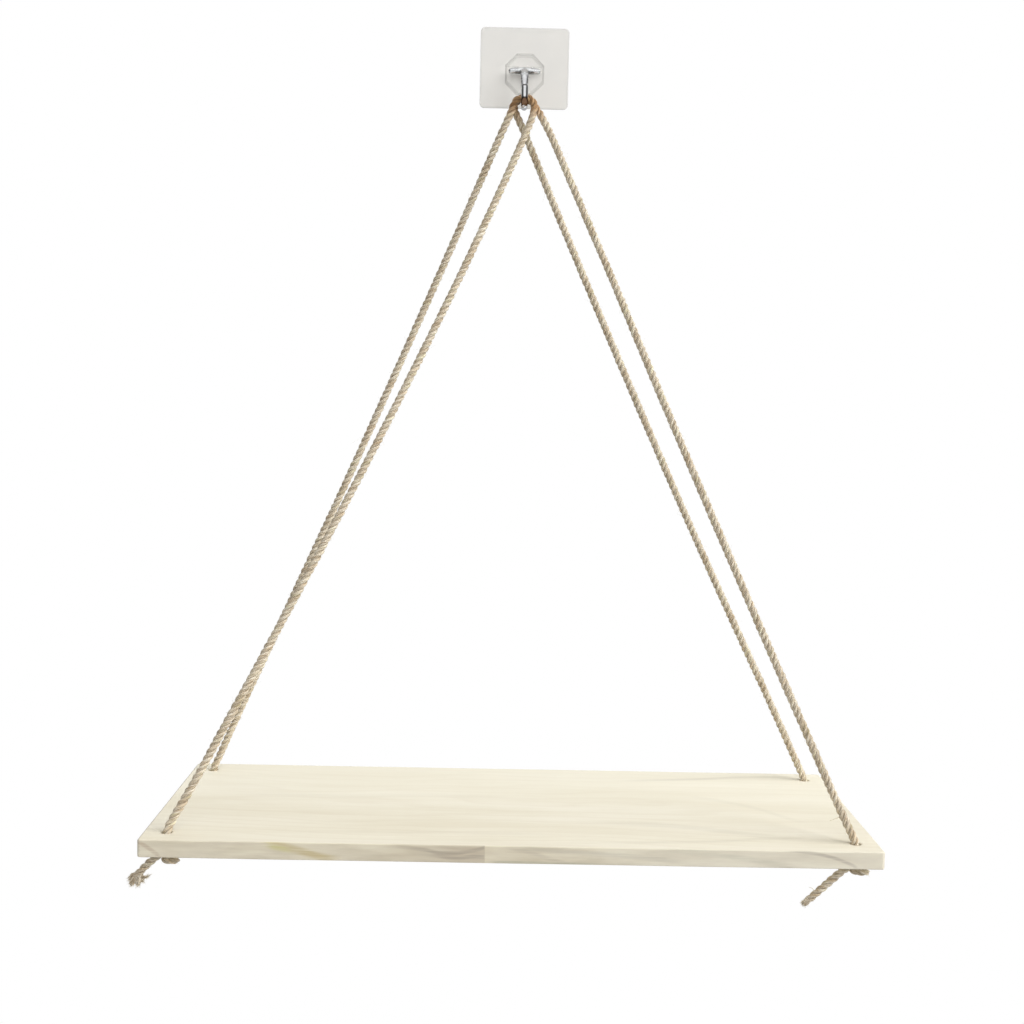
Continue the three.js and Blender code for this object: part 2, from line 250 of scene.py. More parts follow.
# Yarns at a loose end, in millimetres from the end of the laid rope
Yarn = namedtuple("Yarn", "root bend end radius swell fibres reach")
TUFT_YARNS = [Yarn(*row) for row in (
    ((2.3, 0.5, 3.3), (-1.9, 0.5, 2.6), (-2.1, 0.5, -0.4), 1.25, 0.5, 110, 1.5),
    ((2.2, -0.6, 3.0), (-0.8, -0.9, 0.9), (-1.3, -0.9, -2.3), 1.3, 0.5, 110, 1.5),
    ((2.5, -0.5, 3.0), (1.4, -1.2, 0.9), (1.9, -1.1, -2.2), 1.35, 0.4, 110, 1.5),
    ((2.8, 0.6, 3.3), (3.2, 0.4, 1.6), (3.4, 0.3, -1.0), 1.2, 0.4, 100, 1.4),
    ((2.8, -0.2, 2.3), (4.9, -0.4, 0.9), (6.9, -0.5, 2.4), 0.6, -1.2, 60, 1.6),
)]
BLUNT_YARNS = [Yarn(*row) for row in (
    ((2.2, 0.6, 1.8), (0.6, 0.8, 0.4), (-0.9, 0.7, -0.6), 1.05, 0.1, 50, 1.4),
    ((2.2, -0.6, 1.7), (0.7, -0.8, 0.2), (-0.6, -0.6, -0.9), 1.05, 0.1, 50, 1.4),
    ((2.1, 0.0, 2.1), (0.2, 0.0, 0.9), (-1.2, 0.0, -0.1), 1.0, 0.1, 50, 1.4),
)]

Knot = namedtuple("Knot", "x y turn tail yarns")
KNOTS = {
    "knot_front_left": Knot(-hole_x, hole_front_y, 0, SHORT_TAIL, TUFT_YARNS),
    "knot_back_left": Knot(-hole_x, hole_back_y, 165, LONG_TAIL, BLUNT_YARNS),
    "knot_front_right": Knot(hole_x, hole_front_y, 0, LONG_TAIL, BLUNT_YARNS),
    "knot_back_right": Knot(hole_x, hole_back_y, 15, SHORT_TAIL, TUFT_YARNS),
}

# Long single fibres, as in the photo
LEFT_STRAYS = [
    [(-0.0302, -0.0415, -0.1110), (-0.0312, -0.0428, -0.1128), (-0.0330, -0.0432, -0.1138)],
]
RIGHT_STRAYS = [
    [(0.1572, -0.1243, -0.3746), (0.1548, -0.1250, -0.3752), (0.1520, -0.1249, -0.3764)],
    [(0.1450, -0.1300, -0.4100), (0.1436, -0.1306, -0.4078), (0.1420, -0.1302, -0.4074)],
]

Rope = namedtuple("Rope", "route front back seed strays")
ROPES = {
    "rope_left": Rope(LEFT_ROPE_ROUTE, "knot_front_left", "knot_back_left", 11, LEFT_STRAYS),
    "rope_right": Rope(RIGHT_ROPE_ROUTE, "knot_front_right", "knot_back_right", 23, RIGHT_STRAYS),
}

# Darker grain on the board's front, as (x, height above the underside) in millimetres
Streak = namedtuple("Streak", "line width soft colour strength fade")
FRONT_STREAKS = [Streak(*row) for row in (
    ([(-119, 8.4), (-108, 6.6), (-97, 4.0), (-88, 1.6), (-78, 0.4)],
     0.6, 2.2, (0.56, 0.46, 0.24), 0.85, (10, 10)),
    ([(-116, 7.4), (-111, 6.2), (-106, 5.2), (-101, 3.6)],
     0.4, 1.7, (0.66, 0.64, 0.30), 0.6, (5, 6)),
    ([(-62, 7.8), (-42, 6.2), (-30, 4.6), (-20, 5.8), (-12.8, 7.8)],
     0.3, 1.1, (0.30, 0.25, 0.20), 0.5, (26, 0.8)),
    ([(-52, 5.2), (-36, 3.4), (-26, 2.4), (-18, 3.2), (-12.8, 3.0)],
     0.3, 1.1, (0.32, 0.27, 0.22), 0.45, (26, 0.8)),
    ([(-14, 0.3), (4, 0.5), (20, 0.4), (46, 0.2)],
     0.4, 0.9, (0.46, 0.46, 0.35), 0.5, (10, 14)),
    ([(-8, 8.2), (8, 5.6), (20, 2.0), (30, 0.3)],
     0.3, 1.3, (0.52, 0.46, 0.37), 0.45, (12, 10)),
    ([(-6, 8.6), (14, 6.8), (34, 5.8), (60, 4.2), (88, 1.2)],
     0.3, 1.5, (0.54, 0.50, 0.41), 0.42, (14, 20)),
    ([(66, 8.3), (92, 6.6), (114, 3.6), (135, 0.6)],
     0.4, 1.7, (0.56, 0.54, 0.43), 0.4, (20, 14)),
    ([(126, 8.6), (137, 8.0), (148, 6.2), (156, 3.6), (163, 0.4)],
     0.3, 0.9, (0.42, 0.37, 0.31), 0.6, (10, 3)),
    ([(-175.5, 8.2), (-172, 6.4), (-168, 3.6), (-163.5, 0.5)],
     0.4, 1.4, (0.50, 0.39, 0.28), 0.55, (2, 2)),
    ([(-150, 7.6), (-125, 8.0), (-112, 7.2)],
     0.4, 1.8, (0.62, 0.55, 0.46), 0.35, (14, 10)),
)]
# The glued joint between the front's two lengths of wood
SEAM_X = -12.8

# Darker grain on the board's top, as (x, y) in millimetres
TOP_STREAKS = [Streak(*row) for row in (
    ([(20, -100), (70, -103), (104, -112), (126, -120), (146, -124.5), (161.6, -127)],
     1.4, 4.2, (0.62, 0.575, 0.46), 0.32, (50, 1.5)),
    ([(20, -134), (85, -130), (106, -126.6), (124, -122.3), (146, -120)],
     0.6, 2.6, (0.62, 0.57, 0.45), 0.4, (50, 14)),
    ([(50, -24), (100, -17), (149, -9), (162, -10)],
     0.6, 3.0, (0.60, 0.56, 0.45), 0.45, (40, 8)),
    ([(90, -50), (124, -69), (138, -86), (152, -101)],
     0.8, 4.5, (0.66, 0.62, 0.50), 0.3, (20, 14)),
    ([(-120, -126), (-60, -122), (-15, -121), (30, -124)],
     0.5, 3.4, (0.66, 0.60, 0.47), 0.3, (50, 30)),
    ([(-150, -58), (-95, -62), (-40, -58), (10, -61)],
     0.8, 5.0, (0.68, 0.63, 0.50), 0.22, (40, 40)),
)]


# Small helpers

def link(obj):
    bpy.context.scene.collection.objects.link(obj)
    return obj


def smooth_object(mesh):
    """A smoothly shaded object with its mesh's name."""
    mesh.polygons.foreach_set("use_smooth", [True] * len(mesh.polygons))
    mesh.update()
    return link(bpy.data.objects.new(mesh.name, mesh))


def mesh_object(name, vertices, faces):
    """A new object from arrays of corners and faces."""
    mesh = bpy.data.meshes.new(name)
    mesh.from_pydata([tuple(v) for v in vertices], [], faces)
    return smooth_object(mesh)


def object_from(bm, name):
    """A new object from an edited mesh, which this frees."""
    mesh = bpy.data.meshes.new(name)
    bm.to_mesh(mesh)
    bm.free()
    return smooth_object(mesh)


def give(obj, material):
    obj.data.materials.clear()
    obj.data.materials.append(material)
    return obj


def dress(obj, material, body, slot, *nodes):
    """The piece's material, body and the CAD nodes that it stands for. The slot argument is not used."""
    give(obj, material)
    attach(obj, body)
    if nodes:
        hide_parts(*nodes)
    return obj


def bake_modifiers(obj):
    """Turns the object's modifiers into its mesh."""
    bpy.context.view_layer.update()
    graph = bpy.context.evaluated_depsgraph_get()
    mesh = bpy.data.meshes.new_from_object(obj.evaluated_get(graph))
    obj.modifiers.clear()
    obj.data = mesh
    return obj


def keep_faces_flat(obj):
    """Weights the normals so that broad faces stay flat beside rounded edges."""
    weighted = obj.modifiers.new("weighted", "WEIGHTED_NORMAL")
    weighted.keep_sharp = True
    return bake_modifiers(obj)


def sharp_edges(bm, least_angle):
    return [e for e in bm.edges if len(e.link_faces) == 2 and e.calc_face_angle() > least_angle]


def round_off(bm, edges, width, clamp=False):
    bmesh.ops.bevel(bm, geom=edges, offset=width, segments=EDGE_STEPS, profile=0.5,
                    affect="EDGES", clamp_overlap=clamp)


# Lines in space

def spline(points, steps_per_span=CURVE_STEPS):
    """A centripetal curve through the points, as the CAD's cords follow."""
    p = np.array(points, float)
    p = np.vstack([2 * p[0] - p[1], p, 2 * p[-1] - p[-2]])
    out = []
    for i in range(1, len(p) - 2):
        gaps = [math.sqrt(max(np.linalg.norm(p[i + k] - p[i + k - 1]), 1e-9)) for k in range(3)]
        a = (p[i] - p[i - 1]) / gaps[0] - (p[i + 1] - p[i - 1]) / (gaps[0] + gaps[1])
        b = (p[i + 1] - p[i]) / gaps[1]
        c = (p[i + 2] - p[i + 1]) / gaps[2] - (p[i + 2] - p[i]) / (gaps[1] + gaps[2])
        start, end = (a + b) * gaps[1], (b + c) * gaps[1]
        t = np.arange(steps_per_span)[:, None] / steps_per_span
        out.append(
            (2 * t**3 - 3 * t**2 + 1) * p[i] + (t**3 - 2 * t**2 + t) * start
            + (3 * t**2 - 2 * t**3) * p[i + 1] + (t**3 - t**2) * end
        )
    return np.vstack([*out, p[-2:-1]])


def distance_along(line):
    steps = np.linalg.norm(np.diff(line, axis=0), axis=1)
    return np.concatenate([[0], np.cumsum(steps)])


def evenly(line, step, *values):
    """The line again with even steps, and each list of values along with it."""
    along = distance_along(line)
    at = np.linspace(0, along[-1], max(2, round(along[-1] / step) + 1))
    spaced = np.stack([np.interp(at, along, line[:, k]) for k in range(3)], axis=1)
    return spaced, [np.interp(at, along, v) for v in values]


def tangents(line):
    steps = np.gradient(line, axis=0)
    return steps / np.linalg.norm(steps, axis=1)[:, None]


def frames_along(line):
    """Tangent, side and up at each point, without added twist."""
    tangent = tangents(line)
    side = np.zeros_like(line)
    first = np.cross(tangent[0], (0.0, 1.0, 0.0))
    if np.linalg.norm(first) < 0.1:
        first = np.cross(tangent[0], (1.0, 0.0, 0.0))
    side[0] = first / np.linalg.norm(first)
    for i in range(1, len(line)):
        carried = side[i - 1] - tangent[i] * side[i - 1].dot(tangent[i])
        side[i] = carried / np.linalg.norm(carried)
    return tangent, side, np.cross(tangent, side)


def curl(start, bend, end, count):
    """A curve from start to end, bent towards bend."""
    t = np.linspace(0, 1, count)[:, None]
    return (1 - t) ** 2 * start + 2 * t * (1 - t) * bend + t**2 * end


def smooth_noise(rng, count, reach):
    """Gentle random values between about -1 and 1, alike over about reach steps."""
    knots = max(4, count // reach + 4)
    raw = rng.uniform(-1, 1, knots)
    return np.interp(np.linspace(0, knots - 1, count), np.arange(knots), raw)


def around(sides):
    """So many even angles, all the way round."""
    return np.arange(sides) / sides * 2 * math.pi


def skin(count, sides):
    """Faces between rings of corners that are numbered ring by ring, with both ends closed."""
    i = np.arange(count - 1)[:, None] * sides
    j = np.arange(sides)[None, :]
    k = (j + 1) % sides
    quads = np.stack([i + j, i + k, i + sides + k, i + sides + j], axis=-1).reshape(-1, 4)
    faces = [tuple(q) for q in quads.tolist()]
    faces.append(tuple(range(sides))[::-1])
    faces.append(tuple(range((count - 1) * sides, count * sides)))
    return faces


def tube(line, radii, sides):
    """Corners and faces of a round tube with its own radius at each point."""
    _, side, up = frames_along(line)
    angle = around(sides)
    ring = np.cos(angle)[None, :, None] * side[:, None] + np.sin(angle)[None, :, None] * up[:, None]
    corners = line[:, None] + ring * np.asarray(radii)[:, None, None]
    return corners.reshape(-1, 3), skin(len(line), sides)


def joined(parts):
    """Several (corners, faces) as one."""
    corners, faces, start = [], [], 0
    for c, f in parts:
        corners.append(c)
        faces.extend(tuple(i + start for i in face) for face in f)
        start += len(c)
    return np.vstack(corners), faces


# Node helpers

class Graph:
    """Short calls that add nodes to a material or the world."""

    def __init__(self, owner):
        owner.use_nodes = True
        self.owner = owner
        self.tree = owner.node_tree
        self.tree.nodes.clear()

    def add(self, kind, inputs=None, **settings):
        node = self.tree.nodes.new(kind)
        for name, value in settings.items():
            setattr(node, name, value)
        for name, value in (inputs or {}).items():
            self.put(node.inputs[name], value)
        return node

    def put(self, socket, value):
        if isinstance(value, bpy.types.NodeSocket):
            self.tree.links.new(value, socket)
        else:
            socket.default_value = value

    def math(self, operation, a, b=0.0):
        return self.add("ShaderNodeMath", {0: a, 1: b}, operation=operation).outputs[0]

    def times(self, first, *others):
        """The product of all the values."""
        for other in others:
            first = self.math("MULTIPLY", first, other)
        return first

    def distance(self, a, b):
        """How far the point (a, b) is from zero."""
        return self.math("SQRT", self.math("ADD", self.math("POWER", a, 2.0), self.math("POWER", b, 2.0)))

    def vector(self, operation, a, b):
        return self.add("ShaderNodeVectorMath", {0: a, 1: b}, operation=operation)

    def axes(self, value):
        return self.add("ShaderNodeSeparateXYZ", {0: value}).outputs

    def point(self, x, y, z):
        return self.add("ShaderNodeCombineXYZ", {0: x, 1: y, 2: z}).outputs[0]

    def place(self):
        return self.add("ShaderNodeTexCoord").outputs["Object"]

    def place_mm(self):
        node = self.add("ShaderNodeVectorMath", {0: self.place(), "Scale": 1 / MM}, operation="SCALE")
        return node.outputs[0]

    def noise(self, at, scale=1.0, detail=2.0, roughness=0.5, distortion=0.0):
        node = self.add("ShaderNodeTexNoise", {
            "Vector": at, "Scale": scale, "Detail": detail, "Roughness": roughness,
            "Distortion": distortion,
        })
        return node.outputs[0]

    def stretched(self, at, scales, detail=2.0, roughness=0.5):
        """Noise with its own scale along each axis."""
        return self.noise(self.vector("MULTIPLY", at, scales).outputs[0], 1.0, detail, roughness)

    def span(self, value, low, high, to_low=0.0, to_high=1.0):
        """value from low..high to to_low..to_high, smoothly and held at both ends."""
        node = self.add("ShaderNodeMapRange", {
            "Value": value, "From Min": low, "From Max": high, "To Min": to_low, "To Max": to_high,
        }, interpolation_type="SMOOTHSTEP")
        return node.outputs[0]

    def fall(self, value, low, high, top=1.0):
        """top at low and below, down to 0 at high."""
        return self.span(value, low, high, top, 0.0)

    def band(self, value, low, full_from, full_to, high):
        """1 from full_from to full_to, fading to 0 at low and high."""
        return self.times(self.span(value, low, full_from), self.fall(value, full_to, high))

    def ramp(self, value, *stops):
        """Colours by place: each stop is (place, (r, g, b))."""
        node = self.add("ShaderNodeValToRGB", {0: value})
        elements = node.color_ramp.elements
        elements[0].position, elements[-1].position = stops[0][0], stops[-1][0]
        elements[0].color, elements[-1].color = (*stops[0][1], 1), (*stops[-1][1], 1)
        for place, colour in stops[1:-1]:
            elements.new(place).color = (*colour, 1)
        return node.outputs[0]

    def mix(self, share, a, b, blend="MIX"):
        """Colour a, with b over it by share."""
        node = self.add("ShaderNodeMix", data_type="RGBA", blend_type=blend, clamp_factor=True)
        for socket, value in ((0, share), (6, a), (7, b)):
            if isinstance(value, tuple) and len(value) == 3:
                value = (*value, 1)
            self.put(node.inputs[socket], value)
        return node.outputs[2]

    def bump(self, height, strength, distance):
        return self.add("ShaderNodeBump", {
            "Height": height, "Strength": strength, "Distance": distance,
        }).outputs[0]

    def surface(self, **inputs):
        """The material, with a surface of these inputs."""
        shader = self.add("ShaderNodeBsdfPrincipled", {
            name.replace("_", " "): value for name, value in inputs.items()
        })
        return self.end("ShaderNodeOutputMaterial", shader)

    def end(self, kind, shader):
        out = self.add(kind)
        self.tree.links.new(shader.outputs[0], out.inputs["Surface"])
        return self.owner


def new_material(name):
    return Graph(bpy.data.materials.new(name))


# Rope shapes

def strand_outline():
    """The rope's section: shares of its radius, and the angle and place across the strand."""
    shares, angles, across = [], [], []
    reach = math.pi / STRANDS
    for strand in range(STRANDS):
        for step in range(STRAND_SIDES):
            turn = -reach + 2 * reach * step / STRAND_SIDES
            dip = STRAND_RADIUS_SHARE**2 - (STRAND_OFFSET_SHARE * math.sin(turn)) ** 2
            shares.append(STRAND_OFFSET_SHARE * math.cos(turn) + math.sqrt(dip))
            angles.append(strand * 2 * reach + turn)
            across.append(turn / reach)
    return np.array(shares), np.array(angles), np.array(across)


def about_z(degrees):
    return Matrix.Rotation(math.radians(degrees), 3, "Z")


def knot_points(knot):
    """The knot's points and its tail's, from the hole to the loose end."""
    local = [Vector(share) * KNOT_STRAND for share in KNOT_SHARES]
    local += [Vector(point) for point in knot.tail]
    turn = about_z(knot.turn)
    foot = Vector((knot.x, knot.y, board_low.z - KNOT_SEAT_GAP))
    return [tuple(turn @ point + foot) for point in local]


def knot_radii(knot):
    tail = [TAIL_RADIUS] * len(knot.tail)
    tail[-1] = TAIL_END_RADIUS
    return [KNOT_RADIUS] * len(KNOT_SHARES) + tail


def rope_line(front, route, back):
    """The rope's middle line from loose end to loose end, and its radius along it."""
    points = knot_points(front)[::-1] + route + knot_points(back)
    radii = knot_radii(front)[::-1] + [ROPE_RADIUS] * len(route) + knot_radii(back)
    line = spline(points)
    fine = np.interp(np.arange(len(line)) / CURVE_STEPS, np.arange(len(radii)), radii)
    line, (fine,) = evenly(line, ROPE_STEP, fine)
    return line, fine


def lay_of(along, across, strand):
    """For each corner of a tube: the distance along it, the place across its strand and the strand."""
    return np.stack(np.broadcast_arrays(along[:, None], across[None, :], strand[None, :]), axis=-1)


def mark_lay(obj, parts):
    """Keeps the lay on the mesh, for the jute material."""
    values = np.concatenate([part.reshape(-1, 3) for part in parts]).astype(np.float32)
    attribute = obj.data.attributes.new("lay", "FLOAT_VECTOR", "POINT")
    attribute.data.foreach_set("vector", values.ravel())


def make_rope(name, line, radii, seed):
    """Three strands laid together: one skin whose three lobes turn along the rope."""
    rng = np.random.default_rng(seed)
    count = len(line)
    shares, angles, across = strand_outline()
    _, side, up = frames_along(line)
    along = distance_along(line)
    lay = along / ROPE_PITCH * 2 * math.pi + LAY_WANDER * smooth_noise(rng, count, LAY_REACH)
    thick = radii * (1 + THICKNESS_WANDER * smooth_noise(rng, count, THICKNESS_REACH))
    turn = lay[:, None] + angles[None, :]
    uneven = np.stack([smooth_noise(rng, count, LUMP_REACH) for _ in range(STRANDS)], axis=1)
    on_crown = 1 - np.abs(across)[None, :]
    lumps = 1 + LUMP_HEIGHT * np.repeat(uneven, STRAND_SIDES, axis=1) * on_crown
    reach = thick[:, None] * shares[None, :] * lumps
    corners = (
        line[:, None]
        + (np.cos(turn) * reach)[..., None] * side[:, None]
        + (np.sin(turn) * reach)[..., None] * up[:, None]
    )
    rope = mesh_object(name, corners.reshape(-1, 3), skin(count, len(shares)))
    strand = np.repeat(np.arange(STRANDS), STRAND_SIDES)
    mark_lay(rope, [lay_of(along, across, strand)])
    return rope


def any_way_out(rng, side, up):
    """A random direction square to a line."""
    angle = rng.uniform(0, 2 * math.pi)
    return math.cos(angle) * side + math.sin(angle) * up


def make_fibres(name, line, radii, seed, strays):
    """Short hairs that stand off the rope, and the few long ones that the photo shows."""
    rng = np.random.default_rng(seed)
    tangent, side, up = frames_along(line)
    count = int(distance_along(line)[-1] * FIBRES_PER_METRE)
    share = np.linspace(0, 1, len(FIBRE_TAPER))[:, None]
    parts = []
    for index in rng.integers(4, len(line) - 4, count):
        out = any_way_out(rng, side[index], up[index])
        lean = tangent[index] * rng.choice([-1.0, 1.0])
        length = rng.gamma(2.0, 0.55) * MM + 0.5 * MM
        start = line[index] + out * radii[index] * 0.8
        bow = rng.normal(0, 0.35, 3)
        rise = out * (0.25 + rng.uniform(0, 0.6)) + bow * 0.4
        path = start + length * (share * lean + share**1.6 * rise)
        root = rng.uniform(*FIBRE_RADII) * MM
        parts.append(tube(path, root * FIBRE_TAPER, FIBRE_SIDES))
    for stray in strays:
        path = spline(stray, STRAY_STEPS)
        parts.append(tube(path, np.linspace(*STRAY_RADII, len(path)) * MM, STRAY_SIDES))
    return mesh_object(name, *joined(parts))


def yarn_radii(rng, yarn):
    """Radii along a loose yarn, rounded off at its end and a little uneven."""
    share = np.linspace(0, 1, YARN_STEPS)
    rounded = np.sqrt(np.clip(1.03 - share**5, 0.03, 1))
    thick = yarn.radius * MM * (1 + yarn.swell * (share - 0.5)) * rounded
    return thick * (1 + 0.10 * smooth_noise(rng, YARN_STEPS, 3))


def yarn_fibres(rng, yarn, line, thick):
    tangent, side, up = frames_along(line)
    parts = []
    for _ in range(yarn.fibres):
        index = int(YARN_STEPS * rng.uniform(0.3, 0.98))
        out = any_way_out(rng, side[index], up[index])
        start = line[index] + out * thick[index] * 0.75
        length = rng.uniform(0.8, yarn.reach) * MM
        bend = start + length * 0.5 * (tangent[index] + 0.3 * out)
        end = start + length * (tangent[index] + 0.7 * out + rng.normal(0, 0.3, 3)) * 0.8
        root = rng.uniform(*YARN_FIBRE_RADII) * MM
        path = curl(start, bend, end, len(YARN_FIBRE_TAPER))
        parts.append(tube(path, root * YARN_FIBRE_TAPER, FIBRE_SIDES))
    return parts


def make_fray(name, fibres_name, tip, knot, seed):
    """A rope end's loose yarns, turned as its knot is, and the fibres that stand off them."""
    rng = np.random.default_rng(seed)
    turn = about_z(knot.turn)
    ring = np.arange(YARN_SIDES) / YARN_SIDES
    twist = 0.9 * np.abs(np.sin(2 * math.pi * ring))
    yarn_parts, lay_parts, fibre_parts = [], [], []
    for number, yarn in enumerate(knot.yarns):
        turned = [tip + np.array(turn @ Vector(point), float) * MM for point in yarn[:3]]
        line = curl(*turned, YARN_STEPS)
        thick = yarn_radii(rng, yarn)
        yarn_parts.append(tube(line, thick, YARN_SIDES))
        lay_parts.append(lay_of(distance_along(line), twist, np.full(YARN_SIDES, float(number))))
        fibre_parts += yarn_fibres(rng, yarn, line, thick)
    fray = mesh_object(name, *joined(yarn_parts))
    mark_lay(fray, lay_parts)
    return fray, mesh_object(fibres_name, *joined(fibre_parts))


def add_rope(name, plan, jute, jute_fibre):
    front, back = KNOTS[plan.front], KNOTS[plan.back]
    line, radii = rope_line(front, plan.route, back)
    rope = make_rope(f"{name}_laid", line, radii, plan.seed)
    dress(rope, jute, "shelf", "jute", name, plan.front, plan.back)
    fibres = make_fibres(f"{name}_fibres", line, radii, plan.seed + 1, plan.strays)
    dress(fibres, jute_fibre, "shelf", "jute")
    loose = [fibres]
    ends = (("front", front, line[0], plan.seed + 2), ("back", back, line[-1], plan.seed + 1))
    for where, knot, tip, seed in ends:
        fray_name = f"{name}_{where}_fray"
        fray, fray_fibres = make_fray(fray_name, f"{fray_name}_fibres", tip, knot, seed)
        dress(fray, jute, "shelf", "jute")
        dress(fray_fibres, jute_fibre, "shelf", "jute")
        loose += [fray, fray_fibres]


# Rope materials

def jute_material():
    """Fibres laid along each strand, painted shade in the grooves between the strands, and browner,
    darker rope at the hook that is partly a stain and partly painted shade.
    """
    g = new_material("jute")
    lay = g.add("ShaderNodeAttribute", attribute_name="lay").outputs["Vector"]
    along, across, strand = g.axes(lay)
    fibres_at = g.vector("MULTIPLY", lay, (260.0, 4.5, 7.3)).outputs[0]
    fibres = g.noise(fibres_at, 1.0, 3.0, 0.65, 0.3)
    fine = g.stretched(fibres_at, (2.5, 3.5, 1.0), roughness=0.6)
    colour = g.ramp(
        g.math("ADD", g.times(fibres, 0.7), g.times(fine, 0.3)),
        (0.32, (0.145, 0.10, 0.058)),
        (0.43, (0.45, 0.366, 0.258)),
        (0.53, (0.75, 0.674, 0.538)),
        (0.64, (0.99, 0.975, 0.89)),
    )
    tint = g.ramp(
        g.noise(g.point(g.times(along, 55.0), strand, 0.0)),
        (0.35, (0.80, 0.74, 0.66)),
        (0.5, (0.97, 0.95, 0.93)),
        (0.66, (1.06, 1.06, 1.04)),
    )
    colour = g.mix(1.0, colour, tint, "MULTIPLY")
    hue = g.noise(g.point(g.times(along, 140.0), g.times(strand, 5.1), across))
    colour = g.mix(g.span(hue, 0.54, 0.68, 0.0, 0.7), colour, (0.97, 0.88, 0.76), "MULTIPLY")
    colour = g.mix(g.span(hue, 0.46, 0.34, 0.0, 0.8), colour, (0.92, 0.95, 0.80), "MULTIPLY")
    # Painted shade in the grooves between the strands
    groove_shade = g.span(g.math("ABSOLUTE", across), 0.62, 1.0)
    colour = g.mix(g.times(groove_shade, 0.65), colour, (0.14, 0.095, 0.055))
    # Browner, darker rope at the hook: partly a stain, partly painted shade
    stain_and_shade_at_hook = g.span(g.axes(g.place())[2], SEAT_Z - 10 * MM, SEAT_Z)
    colour = g.mix(stain_and_shade_at_hook, colour, (0.64, 0.445, 0.285), "MULTIPLY")
    return g.surface(
        Base_Color=colour,
        Roughness=0.85,
        Sheen_Weight=0.25,
        Sheen_Roughness=0.5,
        Normal=g.bump(g.math("ADD", fibres, g.times(fine, 0.5)), 0.7, 0.12 * MM),
    )


def fibre_material():
    g = new_material("jute_fibre")
    spots = g.noise(g.place(), 900.0, 1.0)
    colour = g.ramp(spots, (0.35, (0.55, 0.45, 0.29)), (0.65, (0.92, 0.84, 0.65)))
    return g.surface(Base_Color=colour, Roughness=0.7)


# Board

def arc(x, y, radius, turns):
    return [(x + radius * math.cos(turn), y + radius * math.sin(turn)) for turn in turns]


def board_outline():
    """The board from above as closed loops of points: its rim first, then its four holes."""
    middle = (board_low + board_high) / 2
    half_x, half_y = board_high.x - middle.x, board_high.y - middle.y
    rim = []
    for quarter, (sx, sy) in enumerate(((1, -1), (1, 1), (-1, 1), (-1, -1))):
        x = middle.x + sx * (half_x - BOARD_CORNER_RADIUS)
        y = middle.y + sy * (half_y - BOARD_CORNER_RADIUS)
        turns = [math.radians(90 * quarter - 90 + 90 / BOARD_CORNER_STEPS * step)
                 for step in range(BOARD_CORNER_STEPS + 1)]
        rim += arc(x, y, BOARD_CORNER_RADIUS, turns)
    holes = [arc(x, y, HOLE_RADIUS, around(HOLE_SIDES))
             for x in (-hole_x, hole_x) for y in (hole_front_y, hole_back_y)]
    return [rim, *holes]


def subdivided(loop, longest):
    """The closed loop with no side longer than that."""
    out = []
    for a, b in zip(loop, loop[1:] + loop[:1]):
        pieces = max(1, math.ceil(math.dist(a, b) / longest))
        out += [(a[0] + (b[0] - a[0]) * k / pieces, a[1] + (b[1] - a[1]) * k / pieces)
                for k in range(pieces)]
    return out


def board_slab():
    """The board's outline with its holes, filled and drawn down to the underside."""
    bm = bmesh.new()
    for loop in board_outline():
        corners = [bm.verts.new((x, y, board_high.z)) for x, y in subdivided(loop, BOARD_SIDE_STEP)]
        for a, b in zip(corners, corners[1:] + corners[:1]):
            bm.edges.new((a, b))
    bmesh.ops.triangle_fill(bm, use_beauty=True, edges=bm.edges[:])
    bmesh.ops.recalc_face_normals(bm, faces=bm.faces[:])
    if bm.faces[0].normal.z < 0:
        bmesh.ops.reverse_faces(bm, faces=bm.faces[:])
    grown = bmesh.ops.extrude_face_region(bm, geom=bm.faces[:])
    bottom = [v for v in grown["geom"] if isinstance(v, bmesh.types.BMVert)]
    bmesh.ops.translate(bm, vec=(0, 0, board_low.z - board_high.z), verts=bottom)
    bmesh.ops.recalc_face_normals(bm, faces=bm.faces[:])
    return bm


def let_sides_waver(mesh):
    """Draws the board's outer faces in by up to a few hundredths of a millimetre."""
    waves = np.random.default_rng(BOARD_WAVER_SEED).uniform(0.02, 0.12, 3)
    centre = (board_low + board_high) / 2
    for v in mesh.vertices:
        for axis in range(3):
            near = abs(v.co[axis] - centre[axis]) / (board_high[axis] - centre[axis])
            if near > 0.97:
                other = v.co[(axis + 1) % 3] + v.co[(axis + 2) % 3]
                wave = math.sin(other * BOARD_WAVES_PER_METRE * waves[axis] + axis)
                push = BOARD_WAVER * (0.5 + 0.5 * wave)
                v.co[axis] -= math.copysign(push, v.co[axis] - centre[axis])


def make_board():
    """The drilled board with eased edges."""
    bm = board_slab()
    rims = [e for e in sharp_edges(bm, BOARD_SHARP_ANGLE)
            if abs(e.verts[0].co.z - e.verts[1].co.z) < 0.1 * MM]
    round_off(bm, rims, BOARD_EASE)
    board = object_from(bm, "board_planed")
    let_sides_waver(board.data)
    return keep_faces_flat(board)


def line_mask(g, along, across, streak):
    """1 on a bent line through its points (along, across), 0 beside it and past its ends."""
    points = streak.line
    fade_in, fade_out = streak.fade
    first, last = points[0][0], points[-1][0]
    low = min(p[1] for p in points) - 1.0
    high = max(p[1] for p in points) + 1.0
    share = g.math("DIVIDE", g.math("SUBTRACT", along, first), last - first)
    bend = g.add("ShaderNodeFloatCurve", {"Value": share})
    curve = bend.mapping.curves[0]
    places = [((a - first) / (last - first), (c - low) / (high - low)) for a, c in points]
    curve.points[0].location, curve.points[-1].location = places[0], places[-1]
    for place in places[1:-1]:
        curve.points.new(*place)
    bend.mapping.update()
    middle = g.math("ADD", g.times(bend.outputs[0], high - low), low)
    off = g.math("ABSOLUTE", g.math("SUBTRACT", across, middle))
    on_line = g.fall(off, streak.width, streak.width + streak.soft)
    return g.times(on_line, g.band(along, first, first + fade_in, last - fade_out, last))


